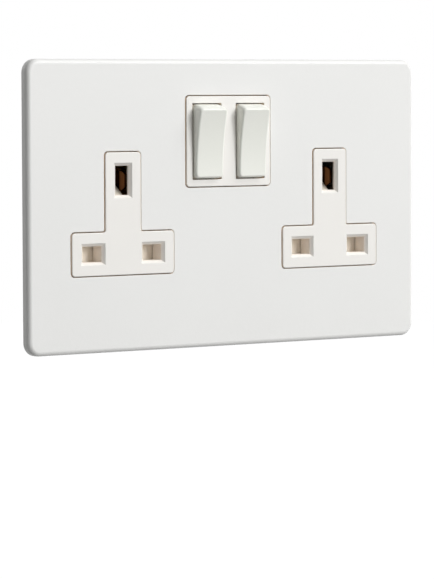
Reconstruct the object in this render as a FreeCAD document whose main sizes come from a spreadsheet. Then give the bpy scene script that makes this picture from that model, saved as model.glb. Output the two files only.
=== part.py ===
import FreeCAD, Part
import math
import os
import types

import Sketcher

# Twin 13 A switched wall socket with a screwless front plate.
# X runs to the right, Z up, and the front faces -Y. The wall's face is y = 0, so the plate stands
# in front of it and the works lie behind it, in the wall box. The origin is midway between the
# two wall fixing holes. All sizes are millimetres, and angles are degrees.

SIZES = {
    # Front plate: a pressed and painted shell that snaps over the backing frame
    "plate_width": 149.2,
    "plate_height": 89.2,
    "plate_depth": 3.0,
    "plate_wall": 1.1,
    "plate_corner": 4.2,
    "plate_edge": 1.4,
    "window_edge": 0.3,
    # Inserts: the two T shaped sockets and the switch surround, set into the plate
    "insert_proud": 0.3,
    "insert_gap": 0.27,
    "insert_corner": 1.1,
    "insert_inner_corner": 0.75,
    "insert_edge": 0.25,
    "insert_margin": 3.2,
    "insert_side_margin": 3.35,
    "insert_lip": 1.5,
    # Pin slots
    "socket_offset": 40.05,
    "pin_spacing": 22.23,
    "earth_rise": 22.23,
    "pin_row_drop": 14.5,
    "line_slot_width": 7.0,
    "line_slot_height": 4.85,
    "earth_slot_width": 4.8,
    "earth_slot_height": 8.95,
    "slot_bevel": 0.93,
    "line_pin_length": 17.7,
    "earth_pin_length": 22.7,
    "pin_end_gap": 0.4,
    # Backing frame
    "frame_gap": 0.3,
    "window_gap": 0.5,
    "fixing_spacing": 120.6,
    "fixing_hole_radius": 2.0,
    "fixing_recess_radius": 4.2,
    "fixing_recess_depth": 0.9,
    "catch_length": 10.0,
    "catch_height": 0.7,
    "catch_bite": 0.25,
    "catch_gap": 0.1,
    "catch_offset": 45.0,
    # Box behind the plate: a front moulding and a rear housing
    "housing_width": 120.0,
    "housing_height": 68.0,
    "housing_wall": 1.6,
    "housing_corner": 2.5,
    "front_wall": 2.1,
    "lug_notch_depth": 6.5,
    "lug_notch_height": 14.0,
    "relief_wall": 1.15,
    "cover_thickness": 1.8,
    "cover_edge": 0.6,
    "cable_gap_depth": 11.0,
    # Switches
    "switch_rise": 19.25,
    "rocker_pitch": 16.67,
    "well_width": 11.1,
    "well_height": 23.6,
    "well_edge": 0.15,
    "switch_side_rim": 2.28,
    "switch_end_rim": 2.19,
    "pivot_depth": 1.4,
    "pivot_radius": 1.2,
    "pivot_clearance": 0.05,
    "pivot_length": 0.9,
    "pivot_end_gap": 0.15,
    "rocker_side_gap": 0.35,
    "rocker_swing_gap": 0.2,
    "rocker_face_depth": 4.7,
    "rocker_face_sag": 0.7,
    "rocker_back": 2.0,
    "rocker_wall": 1.3,
    "rocker_web": 2.1,
    "rocker_corner": 1.3,
    "rocker_edge": 0.6,
    "rocker_tilt": 7.0,
    "post_radius": 2.6,
    "post_length": 9.0,
    "post_wall": 0.9,
    "plunger_radius": 1.5,
    "plunger_tail": 4.0,
    "plunger_tip_round": 1.2,
    "plunger_gap": 0.15,
    "rocker_spring_radius": 1.25,
    "rocker_spring_wire": 0.35,
    "rocker_spring_pitch": 1.1,
    # Moving and fixed contacts of the switches
    "blade_width": 6.0,
    "blade_length": 18.0,
    "blade_thickness": 0.8,
    "blade_tilt": 6.0,
    "blade_lift": 0.45,
    "trunnion_radius": 0.7,
    "trunnion_clearance": 0.05,
    "ear_side_gap": 0.3,
    "ear_margin": 1.0,
    "contact_reach": 7.5,
    "contact_radius": 1.4,
    "contact_thickness": 0.6,
    "contact_rest_gap": 0.3,
    # Shutters
    "shutter_gap": 0.3,
    "shutter_thickness": 1.8,
    "shutter_cover": 0.88,
    "shutter_side_cover": 0.8,
    "shutter_travel": 5.8,
    "shutter_stem_width": 6.0,
    "ramp_width": 3.2,
    "ramp_front_gap": 0.4,
    "ramp_depth": 8.5,
    "ramp_foot_drop": 5.29,
    "ramp_rise": 6.86,
    "ramp_back": 1.2,
    "foot_width": 5.0,
    "foot_depth": 4.2,
    "foot_height": 2.8,
    "shutter_spring_radius": 1.6,
    "shutter_spring_wire": 0.4,
    "shutter_spring_pitch": 1.6,
    "spring_end_gap": 0.1,
    "spigot_radius": 1.0,
    "spigot_length": 2.0,
    "stop_gap": 0.3,
    "stop_width": 6.0,
    "stop_height": 1.2,
    "retainer_gap": 0.3,
    "retainer_thickness": 1.2,
    "retainer_margin": 0.9,
    "retainer_slot_gap": 0.7,
    "retainer_window_gap": 0.4,
    "stake_radius": 0.6,
    "stake_gap": 0.1,
    "stake_head": 0.4,
    "stake_shoulder": 0.3,
    # Brass straps and pin clips
    "strip": 0.8,
    "strap_width": 5.0,
    "clip_width": 6.3,
    "clip_grip": 3.6,
    "clip_front_gap": 0.4,
    "clip_flare": 0.7,
    "clip_flare_length": 1.2,
    "level_gap": 1.2,
    "earth_clip_height": 6.3,
    "earth_clip_drop": 3.43,
    "earth_lip_depth": 5.8,
    "earth_lip_flare": 2.6,
    "earth_knee_depth": 6.8,
    "earth_knee_flare": 1.5,
    "earth_throat_depth": 12.5,
    "earth_leaf_corner": 1.6,
    "strap_top": 30.2,
    "neutral_bar_drop": 2.5,
    # Terminals
    "terminal_pitch": 13.0,
    "terminal_width": 9.0,
    "terminal_depth": 8.0,
    "terminal_height": 11.0,
    "terminal_top_drop": 13.0,
    "tab_width": 7.0,
    "cable_bore_radius": 2.2,
    "clamp_screw_radius": 1.75,
    "clamp_screw_head_radius": 2.7,
    "clamp_screw_head": 1.6,
    "clamp_screw_reach": 2.8,
    "bay_half_width": 18.5,
    "bay_top_drop": 10.0,
    "bay_wall": 1.4,
    "bay_front_gap": 0.6,
    "barrier_height": 18.0,
    # Screws that hold the cover and the frame
    "screw_radius": 1.4,
    "screw_clearance": 0.1,
    "screw_head_radius": 2.6,
    "screw_head": 1.3,
    "screw_head_gap": 0.3,
    "frame_screw_head": 1.0,
    "screw_length": 7.0,
    "screw_post_wall": 1.1,
    "screw_slot": 0.7,
    "cover_screw_upper_x": 42.0,
    "cover_screw_upper_z": 20.0,
    "cover_screw_lower_x": 33.0,
    "cover_screw_lower_z": 28.4,
    "frame_screw_upper_x": 28.0,
    "frame_screw_upper_z": 26.0,
    "frame_screw_lower_x": 14.5,
    "frame_screw_lower_z": 28.4,
}

doc = FreeCAD.newDocument("twin_socket")
sheet = doc.addObject("Spreadsheet::Sheet", "Sizes")
for row, (alias, number) in enumerate(SIZES.items(), 1):
    sheet.set(f"A{row}", alias)
    sheet.set(f"B{row}", str(number))
    sheet.setAlias(f"B{row}", alias)
doc.recompute()


class Size:
    """A length or angle of the model: its number, and the expression that binds it to the sheet."""

    def __init__(self, text, value):
        self.text = text
        self.value = value

    def __add__(self, other):
        other = as_size(other)
        return Size(f"({self.text} + {other.text})", self.value + other.value)

    def __sub__(self, other):
        other = as_size(other)
        return Size(f"({self.text} - {other.text})", self.value - other.value)

    def __mul__(self, other):
        other = as_size(other)
        return Size(f"({self.text} * {other.text})", self.value * other.value)

    def __truediv__(self, other):
        other = as_size(other)
        return Size(f"({self.text} / {other.text})", self.value / other.value)

    def __neg__(self):
        return Size(f"(0 - {self.text})", -self.value)

    def __rmul__(self, other):
        return as_size(other) * self


def as_size(number):
    return number if isinstance(number, Size) else Size(f"({number})", float(number))


def root(size):
    return Size(f"sqrt({size.text})", math.sqrt(size.value))


def sine(angle):
    return Size(f"sin({angle.text} * 1 deg)", math.sin(math.radians(angle.value)))


def cosine(angle):
    return Size(f"cos({angle.text} * 1 deg)", math.cos(math.radians(angle.value)))


def bind(thing, prop, size):
    thing.setExpression(prop, as_size(size).text)


d = types.SimpleNamespace(**{a: Size(f"Sizes.{a}", float(sheet.get(a))) for a in SIZES})
ZERO = as_size(0)
SIDES = {"left": -1, "right": 1}

# Depths of the layers, from the front to the back
plate_face = -d.plate_depth
insert_face = plate_face - d.insert_proud
lip_back = insert_face + d.insert_lip
frame_front = plate_face + d.plate_wall
shutter_front = d.front_wall + d.shutter_gap
shutter_back = shutter_front + d.shutter_thickness
retainer_front = shutter_back + d.retainer_gap
retainer_back = retainer_front + d.retainer_thickness
line_level = insert_face + d.line_pin_length + d.pin_end_gap
line_back = line_level + d.strip
neutral_level = line_back + d.level_gap
neutral_back = neutral_level + d.strip
earth_level = insert_face + d.earth_pin_length + d.pin_end_gap
housing_back = earth_level + d.strip
cover_back = housing_back + d.cover_thickness

# Heights of the pin slots, and the reach of the box inside its walls
pin_row = -d.pin_row_drop
earth_row = pin_row + d.earth_rise
line_side = d.pin_spacing / 2
inside_height = d.housing_height / 2 - d.housing_wall


def rectangle(left, right, low, high):
    return [(left, low), (right, low), (right, high), (left, high)]


def round_corners(points, radii):
    """Rounds the square corners of an outline; an arc is a third entry, with its sign for its turn."""
    outline = []
    for i, (here, radius) in enumerate(zip(points, radii)):
        back = points[i - 1]
        ahead = points[(i + 1) % len(points)]
        ways = []
        for other in (back, ahead):
            step = [other[k].value - here[k].value for k in (0, 1)]
            ways.append([round(s / max(map(abs, step))) for s in step])
        turn = ways[0][1] * ways[1][0] - ways[0][0] * ways[1][1]
        start = tuple(here[k] + radius * ways[0][k] for k in (0, 1))
        end = tuple(here[k] + radius * ways[1][k] for k in (0, 1))
        outline.append((*start, radius * turn))
        outline.append(end)
    return outline


def soft_rectangle(left, right, low, high, radius):
    return round_corners(rectangle(left, right, low, high), [radius] * 4)


class Round:
    """A circle of a sketch."""

    def __init__(self, across, up, radius):
        self.across = as_size(across)
        self.up = as_size(up)
        self.radius = as_size(radius)


def fix_point(sketch, edge, point, spot):
    """Ties a point of a sketch to its two distances from the sketch's origin."""
    for kind, axis, size in (("DistanceX", -2, spot[0]), ("DistanceY", -1, spot[1])):
        if size.text == ZERO.text:
            sketch.addConstraint(Sketcher.Constraint("PointOnObject", edge, point, axis))
            continue
        rule = sketch.addConstraint(Sketcher.Constraint(kind, edge, point, size.value))
        bind(sketch, f"Constraints[{rule}]", size)


def draw_circle(sketch, ring):
    centre = FreeCAD.Vector(ring.across.value, ring.up.value, 0)
    circle = Part.Circle(centre, FreeCAD.Vector(0, 0, 1), ring.radius.value)
    edge = sketch.addGeometry(circle, False)
    rule = sketch.addConstraint(Sketcher.Constraint("Radius", edge, ring.radius.value))
    bind(sketch, f"Constraints[{rule}]", ring.radius)
    fix_point(sketch, edge, 3, (ring.across, ring.up))


def draw_outline(sketch, points):
    """Draws a closed outline of lines and arcs, with every corner tied to its place."""
    spots = [(as_size(p[0]), as_size(p[1])) for p in points]
    flat = [FreeCAD.Vector(x.value, y.value, 0) for x, y in spots]
    edges = []
    for i, point in enumerate(points):
        start = flat[i]
        end = flat[(i + 1) % len(flat)]
        if len(point) == 2:
            edges.append((sketch.addGeometry(Part.LineSegment(start, end), False), 1, 2))
            continue
        radius = point[2]
        turn = 1 if radius.value > 0 else -1
        chord = end - start
        left = FreeCAD.Vector(-chord.y, chord.x, 0).normalize()
        rise = math.sqrt(max(radius.value**2 - chord.Length**2 / 4, 0))
        centre = (start + end) * 0.5 + left * (rise * turn)
        ends = (start, end) if turn > 0 else (end, start)
        angles = [math.atan2(p.y - centre.y, p.x - centre.x) for p in ends]
        circle = Part.Circle(centre, FreeCAD.Vector(0, 0, 1), abs(radius.value))
        edge = sketch.addGeometry(Part.ArcOfCircle(circle, *angles), False)
        edges.append((edge, 1, 2) if turn > 0 else (edge, 2, 1))
    for i, (edge, _, last) in enumerate(edges):
        following, first, _ = edges[(i + 1) % len(edges)]
        sketch.addConstraint(Sketcher.Constraint("Coincident", edge, last, following, first))
    for (edge, first, _), spot, point in zip(edges, spots, points):
        fix_point(sketch, edge, first, spot)
        if len(point) == 3:
            radius = point[2] if point[2].value > 0 else -point[2]
            rule = sketch.addConstraint(Sketcher.Constraint("Radius", edge, radius.value))
            bind(sketch, f"Constraints[{rule}]", radius)


# For each direction of extrusion: the plane to draw on, and the way that its normal points
PLANES = {"x": ("YZ_Plane", 1), "y": ("XZ_Plane", -1), "z": ("XY_Plane", 1)}


def draw(body, role, offset, loops):
    sketch = body.newObject("Sketcher::SketchObject", f"{body.Name}_sketch")
    plane = next(f for f in body.Origin.OriginFeatures if f.Role == role)
    sketch.AttachmentSupport = [(plane, "")]
    sketch.MapMode = "FlatFace"
    bind(sketch, "AttachmentOffset.Base.z", offset)
    for loop in loops:
        if isinstance(loop, Round):
            draw_circle(sketch, loop)
        else:
            draw_outline(sketch, loop)
    return sketch


def extrude(body, kind, along, loops, low, high):
    """A Pad or a Pocket between two places on one axis; a Pocket runs against its plane's normal."""
    role, way = PLANES[along]
    low, high = as_size(low), as_size(high)
    start = low if (kind == "Pad") == (way > 0) else high
    sketch = draw(body, role, start * way, loops)
    feature = body.newObject(f"PartDesign::{kind}", f"{body.Name}_{kind.lower()}")
    feature.Profile = sketch
    bind(feature, "Length", high - low)
    return feature


def pad(body, along, loops, low, high):
    return extrude(body, "Pad", along, loops, low, high)


def pocket(body, along, loops, low, high):
    return extrude(body, "Pocket", along, loops, low, high)


def dress(body, kind, prop, size, wanted):
    """A Fillet or Chamfer on the edges of the body so far for which wanted(edge) holds."""
    doc.recompute()
    base = body.Tip
    names = [f"Edge{i}" for i, e in enumerate(base.Shape.Edges, 1) if wanted(e)]
    feature = body.newObject(f"PartDesign::{kind}", f"{body.Name}_{kind.lower()}")
    feature.Base = (base, names)
    bind(feature, prop, size)
    return feature


def lies_at(edge, axis, place):
    """Whether a whole edge lies in the plane at this place on an axis."""
    box = edge.BoundBox
    low = getattr(box, f"{axis}Min")
    high = getattr(box, f"{axis}Max")
    return abs(low - place.value) < 1e-4 and abs(high - place.value) < 1e-4


def inside(edge, left, right, low, high):
    """Whether an edge's middle lies within a rectangle seen from the front."""
    box = edge.BoundBox
    across = (box.XMin + box.XMax) / 2
    up = (box.ZMin + box.ZMax) / 2
    return left.value <= across <= right.value and low.value <= up <= high.value


pieces = []


def new_body(name):
    body = doc.addObject("PartDesign::Body", name)
    body.Label = name
    pieces.append(body)
    return body


def place(body, across, depth, up, turn=None, axis=(1, 0, 0)):
    """Binds a piece's place to the sheet, and its turn about the given axis where it has one."""
    for key, size in zip("xyz", (across, depth, up)):
        bind(body, f"Placement.Base.{key}", size)
    if turn is not None:
        body.Placement.Rotation = FreeCAD.Rotation(FreeCAD.Vector(*axis), turn.value)
        bind(body, "Placement.Rotation.Angle", turn * Size("1 deg", 1.0))


# Outlines that the plate, the frame and the box share


def socket_outline(centre, grow):
    """The T of one socket insert, grown by a gap all round."""
    rim = d.slot_bevel + d.insert_margin + grow
    base = line_side + d.line_slot_width / 2 + d.slot_bevel + d.insert_side_margin + grow
    stem = d.earth_slot_width / 2 + rim
    low = pin_row - d.line_slot_height / 2 - rim
    shoulder = pin_row + d.line_slot_height / 2 + rim
    top = earth_row + d.earth_slot_height / 2 + rim
    points = [
        (centre - base, low),
        (centre + base, low),
        (centre + base, shoulder),
        (centre + stem, shoulder),
        (centre + stem, top),
        (centre - stem, top),
        (centre - stem, shoulder),
        (centre - base, shoulder),
    ]
    outer = d.insert_corner + grow
    inner = d.insert_inner_corner - grow / 2
    return round_corners(points, [outer, outer, outer, inner, outer, outer, inner, outer])


def switch_outline(grow):
    half_width = d.rocker_pitch / 2 + d.well_width / 2 + d.switch_side_rim + grow
    half_height = d.well_height / 2 + d.switch_end_rim + grow
    low = d.switch_rise - half_height
    high = d.switch_rise + half_height
    return soft_rectangle(-half_width, half_width, low, high, d.insert_corner + grow)


def insert_outlines(grow):
    sockets = [socket_outline(d.socket_offset * way, grow) for way in SIDES.values()]
    return [*sockets, switch_outline(grow)]


def box_outline(shrink):
    """The box seen from the front: notched at each side for the lugs of the wall box."""
    wide = d.housing_width / 2 - shrink
    narrow = d.housing_width / 2 - d.lug_notch_depth - shrink
    high = d.housing_height / 2 - shrink
    notch = d.lug_notch_height / 2 + shrink
    points = [
        (-wide, -high),
        (wide, -high),
        (wide, -notch),
        (narrow, -notch),
        (narrow, notch),
        (wide, notch),
        (wide, high),
        (-wide, high),
        (-wide, notch),
        (-narrow, notch),
        (-narrow, -notch),
        (-wide, -notch),
    ]
    corner = d.housing_corner - shrink / 2
    return round_corners(points, [corner] * len(points))


def catch_outlines(grow, reach):
    """The catches round the frame's edge, by which the plate is held."""
    half = d.catch_length / 2 + grow
    edge_x = d.plate_width / 2 - d.plate_wall
    edge_z = d.plate_height / 2 - d.plate_wall
    root_x = edge_x - d.plate_corner
    root_z = edge_z - d.plate_corner
    catches = []
    for way in SIDES.values():
        for x in (-d.catch_offset, d.catch_offset):
            ends = sorted((root_z * way, (edge_z + reach) * way), key=lambda s: s.value)
            catches.append(rectangle(x - half, x + half, *ends))
        ends = sorted((root_x * way, (edge_x + reach) * way), key=lambda s: s.value)
        catches.append(rectangle(*ends, -half, half))
    return catches


catch_middle = frame_front / 2
catch_front = catch_middle - d.catch_height / 2
catch_back = catch_middle + d.catch_height / 2


def make_front_plate():
    body = new_body("front_plate")
    half_x = d.plate_width / 2
    half_z = d.plate_height / 2
    outside = soft_rectangle(-half_x, half_x, -half_z, half_z, d.plate_corner)
    pad(body, "y", [outside], plate_face, ZERO)
    dress(body, "Fillet", "Radius", d.plate_edge, lambda e: lies_at(e, "Y", plate_face))
    in_x = half_x - d.plate_wall
    in_z = half_z - d.plate_wall
    hollow = soft_rectangle(-in_x, in_x, -in_z, in_z, d.plate_corner - d.plate_wall)
    pocket(body, "y", [hollow], frame_front, ZERO)
    pocket(body, "y", insert_outlines(d.insert_gap), plate_face, ZERO)
    reach_x = d.housing_width / 2
    reach_z = d.housing_height / 2

    def is_window_edge(edge):
        return lies_at(edge, "Y", plate_face) and inside(
            edge, -reach_x, reach_x, -reach_z, reach_z
        )

    dress(body, "Fillet", "Radius", d.window_edge, is_window_edge)
    slots = catch_outlines(d.catch_gap, d.catch_bite + d.catch_gap)
    pocket(body, "y", slots, catch_front - d.catch_gap, catch_back + d.catch_gap)


frame_screw_places = [
    (x * way, z)
    for way in SIDES.values()
    for x, z in (
        (d.frame_screw_upper_x, d.frame_screw_upper_z),
        (d.frame_screw_lower_x, -d.frame_screw_lower_z),
    )
]
cover_screw_places = [
    (x * way, z)
    for way in SIDES.values()
    for x, z in (
        (d.cover_screw_upper_x, d.cover_screw_upper_z),
        (d.cover_screw_lower_x, -d.cover_screw_lower_z),
    )
]
screw_hole = d.screw_radius + d.screw_clearance
screw_post = screw_hole + d.screw_post_wall
head_hole = d.screw_head_radius + d.screw_head_gap


def rounds(places, radius):
    return [Round(x, z, radius) for x, z in places]


def make_backing_frame():
    body = new_body("backing_frame")
    half_x = d.plate_width / 2 - d.plate_wall - d.frame_gap
    half_z = d.plate_height / 2 - d.plate_wall - d.frame_gap
    corner = d.plate_corner - d.plate_wall - d.frame_gap
    pad(body, "y", [soft_rectangle(-half_x, half_x, -half_z, half_z, corner)], frame_front, ZERO)
    pad(body, "y", catch_outlines(ZERO, d.catch_bite), catch_front, catch_back)
    pocket(body, "y", insert_outlines(d.window_gap), frame_front, ZERO)
    fixings = [(d.fixing_spacing / 2 * way, ZERO) for way in SIDES.values()]
    pocket(body, "y", rounds(fixings, d.fixing_hole_radius), frame_front, ZERO)
    recess = frame_front + d.fixing_recess_depth
    pocket(body, "y", rounds(fixings, d.fixing_recess_radius), frame_front, recess)
    pocket(body, "y", rounds(frame_screw_places, screw_hole), frame_front, ZERO)
    seat = frame_front + d.frame_screw_head + d.screw_clearance
    pocket(body, "y", rounds(frame_screw_places, head_hole), frame_front, seat)


def slot_rectangle(across, up, width, height):
    return rectangle(across - width / 2, across + width / 2, up - height / 2, up + height / 2)


line_half = (d.line_slot_width / 2 + d.slot_bevel, d.line_slot_height / 2 + d.slot_bevel)
earth_half = (d.earth_slot_width / 2 + d.slot_bevel, d.earth_slot_height / 2 + d.slot_bevel)


def line_slots(centre, grow):
    width = d.line_slot_width + grow * 2
    height = d.line_slot_height + grow * 2
    return [slot_rectangle(centre + line_side * way, pin_row, width, height) for way in (-1, 1)]


shutter_half = line_side + d.line_slot_width / 2 + d.shutter_side_cover
shutter_low = pin_row - d.line_slot_height / 2 - d.shutter_cover
shutter_high = pin_row + d.line_slot_height / 2 + d.shutter_cover
shoulder_radius = d.stake_radius + d.stake_shoulder
stake_side = shutter_half + d.retainer_margin / 2 + shoulder_radius
stake_high = shutter_high
stake_low = shutter_low - d.shutter_travel
spring_depth = shutter_front + d.foot_depth / 2
stop_low = shutter_high + d.stop_gap


def stake_places(centre):
    return [(centre + stake_side * way, z) for way in (-1, 1) for z in (stake_low, stake_high)]


def well_rectangle(centre):
    return slot_rectangle(centre, d.switch_rise, d.well_width, d.well_height)


def make_socket_moulding():
    """The front wall of the box, with the inserts that stand through the frame and the plate."""
    body = new_body("socket_moulding")
    centres = [d.socket_offset * way for way in SIDES.values()]
    rockers = [d.rocker_pitch / 2 * way for way in SIDES.values()]
    pad(body, "y", [box_outline(ZERO)], ZERO, d.front_wall)
    pad(body, "y", insert_outlines(ZERO), insert_face, ZERO)
    dress(body, "Fillet", "Radius", d.insert_edge, lambda e: lies_at(e, "Y", insert_face))
    slots = [slot for c in centres for slot in line_slots(c, ZERO)]
    pocket(body, "y", slots, insert_face, d.front_wall)
    earths = [
        slot_rectangle(c, earth_row, d.earth_slot_width, d.earth_slot_height) for c in centres
    ]
    pocket(body, "y", earths, insert_face, d.front_wall)
    dress(body, "Chamfer", "Size", d.slot_bevel, make_slot_test(centres))
    reliefs = [relief for c in centres for relief in relief_outlines(c)]
    pocket(body, "y", reliefs, lip_back, d.front_wall)
    pocket(body, "y", [well_rectangle(x) for x in rockers], insert_face, d.front_wall)
    dress(body, "Fillet", "Radius", d.well_edge, make_well_test(rockers))
    for x in rockers:
        half = d.well_width / 2 + d.pivot_length + d.pivot_end_gap
        hole = Round(-d.pivot_depth, d.switch_rise, d.pivot_radius + d.pivot_clearance)
        pocket(body, "x", [hole], x - half, x + half)
    add_moulding_posts(body, centres)


def make_slot_test(centres):
    mouths = [(c + line_side * way, pin_row, line_half) for c in centres for way in (-1, 1)]
    mouths += [(c, earth_row, earth_half) for c in centres]

    def is_slot_edge(edge):
        return lies_at(edge, "Y", insert_face) and any(
            inside(edge, x - half_x, x + half_x, z - half_z, z + half_z)
            for x, z, (half_x, half_z) in mouths
        )

    return is_slot_edge


def make_well_test(rockers):
    def is_well_edge(edge):
        if not lies_at(edge, "Y", insert_face):
            return False
        half_x = d.well_width / 2 + d.well_edge
        half_z = d.well_height / 2 + d.well_edge
        low = d.switch_rise - half_z
        high = d.switch_rise + half_z
        return any(inside(edge, x - half_x, x + half_x, low, high) for x in rockers)

    return is_well_edge


def relief_outlines(centre):
    """The hollows behind one insert: round the earth shutter's ramp, and between the lower slots."""
    stem = d.earth_slot_width / 2 + d.slot_bevel + d.insert_margin - d.relief_wall
    top = earth_row + d.earth_slot_height / 2 + d.slot_bevel + d.insert_margin - d.relief_wall
    ramp_low = earth_row - d.ramp_foot_drop - d.shutter_travel - d.stop_gap
    block = line_side - d.line_slot_width / 2 - d.relief_wall
    rim = d.slot_bevel + d.insert_margin - d.relief_wall
    low = pin_row - d.line_slot_height / 2 - rim
    high = pin_row + d.line_slot_height / 2 + d.slot_bevel
    return [
        rectangle(centre - stem, centre + stem, ramp_low - d.relief_wall, top),
        rectangle(centre - block, centre + block, low, high),
    ]


def add_moulding_posts(body, centres):
    """Posts for screws and for the shutter retainers, and the shutters' stops."""
    pad(body, "y", rounds(cover_screw_places, screw_post), d.front_wall, housing_back)
    deep = housing_back - d.screw_length
    pocket(body, "y", rounds(cover_screw_places, screw_hole), deep, housing_back)
    frame_depth = d.screw_length + d.front_wall
    pad(body, "y", rounds(frame_screw_places, screw_post), d.front_wall, frame_depth)
    pocket(body, "y", rounds(frame_screw_places, screw_hole), ZERO, d.screw_length)
    stakes = [place for c in centres for place in stake_places(c)]
    pad(body, "y", rounds(stakes, shoulder_radius), d.front_wall, retainer_front)
    pad(body, "y", rounds(stakes, d.stake_radius), retainer_front, retainer_back + d.stake_head)
    stops = []
    for c in centres:
        for way in (-1, 1):
            x = c + line_side * way
            half = d.stop_width / 2
            stops.append(rectangle(x - half, x + half, stop_low, stop_low + d.stop_height))
    pad(body, "y", stops, d.front_wall, shutter_back)


def make_rear_housing():
    """The walls and the back of the box, open below for the cable and behind the terminals."""
    body = new_body("rear_housing")
    pad(body, "y", [box_outline(ZERO)], housing_back, cover_back)
    dress(body, "Fillet", "Radius", d.cover_edge, lambda e: lies_at(e, "Y", cover_back))
    pad(body, "y", [box_outline(ZERO), box_outline(d.housing_wall)], d.front_wall, housing_back)
    sill = -d.housing_height / 2
    bay = rectangle(-d.bay_half_width, d.bay_half_width, sill, -d.bay_top_drop)
    pocket(body, "y", [bay], housing_back, cover_back)
    gap = rectangle(-d.bay_half_width, d.bay_half_width, sill, sill + d.housing_wall)
    pocket(body, "y", [gap], housing_back - d.cable_gap_depth, housing_back)
    pocket(body, "y", rounds(cover_screw_places, screw_hole), housing_back, cover_back)
    seat = cover_back - d.screw_head
    pocket(body, "y", rounds(cover_screw_places, head_hole), seat, cover_back)
    add_bay_walls(body)
    add_strap_columns(body)
    spigots = [Round(d.socket_offset * way, spring_depth, d.spigot_radius) for way in SIDES.values()]
    pad(body, "z", spigots, -inside_height, d.spigot_length - inside_height)


def add_bay_walls(body):
    """Walls round the terminal bay, and a barrier on each side of the middle terminal."""
    front = retainer_front
    for way in SIDES.values():
        sides = sorted(
            (d.bay_half_width * way, (d.bay_half_width + d.bay_wall) * way), key=lambda s: s.value
        )
        wall = rectangle(*sides, -inside_height, d.bay_wall - d.bay_top_drop)
        pad(body, "y", [wall], front, housing_back)
    wide = d.bay_half_width + d.bay_wall
    roof = rectangle(-wide, wide, -d.bay_top_drop, d.bay_wall - d.bay_top_drop)
    roof_back = line_level - d.bay_front_gap
    pad(body, "y", [roof], front, roof_back)
    barrier_low = -d.bay_top_drop - d.barrier_height
    barriers = [
        slot_rectangle(
            d.terminal_pitch / 2 * way,
            (barrier_low - d.bay_top_drop) / 2,
            d.bay_wall,
            d.barrier_height,
        )
        for way in SIDES.values()
    ]
    pad(body, "y", barriers, front, roof_back)


def clip_spots(way):
    """The middles of one pole's two pin clips: -1 for neutral, 1 for line."""
    return [d.socket_offset * side + line_side * way for side in SIDES.values()]


def add_strap_columns(body):
    """Columns that carry the clips, the switch contacts and the see-saw pivots from behind."""
    size = d.strap_width - d.strip
    line_columns = [slot_rectangle(x, pin_row, size, size) for x in clip_spots(1)]
    for way in SIDES.values():
        x = d.rocker_pitch / 2 * way
        for z in (d.switch_rise, d.switch_rise + d.contact_reach):
            line_columns.append(slot_rectangle(x, z, size, size))
    pad(body, "y", line_columns, line_back, housing_back)
    neutral_columns = [slot_rectangle(x, pin_row, size, size) for x in clip_spots(-1)]
    pad(body, "y", neutral_columns, neutral_back, housing_back)


# Rocker: a slice of a drum about its pivot, with a concave face
rocker_half = d.well_width / 2 - d.rocker_side_gap
rocker_radius = d.well_height / 2 - d.rocker_swing_gap
face_end = root(rocker_radius * rocker_radius - d.rocker_face_depth * d.rocker_face_depth)
back_end = root(rocker_radius * rocker_radius - d.rocker_back * d.rocker_back)
face_radius = (face_end * face_end + d.rocker_face_sag * d.rocker_face_sag) / (
    d.rocker_face_sag * 2
)
web_back = d.rocker_face_sag + d.rocker_web - d.rocker_face_depth
bore_radius = d.post_radius - d.post_wall

# The see-saw pivots where its contact just clears the fixed one when it is on
tip_depth = (d.contact_thickness - d.blade_lift) * cosine(d.blade_tilt)
tip_reach = (d.contact_reach + d.contact_radius) * sine(d.blade_tilt)
contact_front = line_level - d.contact_thickness
blade_pivot = contact_front - d.contact_rest_gap - tip_depth - tip_reach
blade_front = -d.blade_lift - d.blade_thickness
plunger_tip = blade_pivot + blade_front - d.plunger_gap + d.pivot_depth


def place_on_rocker(body, way):
    x = d.rocker_pitch / 2 * way
    place(body, x, -d.pivot_depth, d.switch_rise, d.rocker_tilt)


def make_rocker(side, way):
    body = new_body(f"{side}_rocker")
    profile = [
        (-d.rocker_face_depth, -face_end, rocker_radius),
        (d.rocker_back, -back_end),
        (d.rocker_back, back_end, rocker_radius),
        (-d.rocker_face_depth, face_end, -face_radius),
    ]
    pad(body, "x", [profile], -rocker_half, rocker_half)

    def is_end_corner(edge):
        box = edge.BoundBox
        at_side = lies_at(edge, "X", rocker_half) or lies_at(edge, "X", -rocker_half)
        return at_side and max(box.ZMin, -box.ZMax) > face_end.value - 1e-4

    def is_face_edge(edge):
        return edge.BoundBox.YMax < web_back.value - d.rocker_web.value + 1e-4

    dress(body, "Fillet", "Radius", d.rocker_corner, is_end_corner)
    dress(body, "Fillet", "Radius", d.rocker_edge, is_face_edge)
    in_x = rocker_half - d.rocker_wall
    in_z = face_end - d.rocker_wall
    pocket(body, "y", [rectangle(-in_x, in_x, -in_z, in_z)], web_back, d.rocker_back)
    pad(body, "y", [Round(ZERO, ZERO, d.post_radius)], web_back, d.post_length)
    pocket(body, "y", [Round(ZERO, ZERO, bore_radius)], web_back, d.post_length)
    reach = d.well_width / 2 + d.pivot_length
    stub = Round(ZERO, ZERO, d.pivot_radius)
    pad(body, "x", [stub], in_x, reach)
    pad(body, "x", [stub], -reach, -in_x)
    place_on_rocker(body, way)


def make_plunger(side, way):
    body = new_body(f"{side}_rocker_plunger")
    pad(body, "y", [Round(ZERO, ZERO, d.plunger_radius)], d.plunger_tail, plunger_tip)
    dress(
        body, "Fillet", "Radius", d.plunger_tip_round, lambda e: lies_at(e, "Y", plunger_tip)
    )
    place_on_rocker(body, way)


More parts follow.
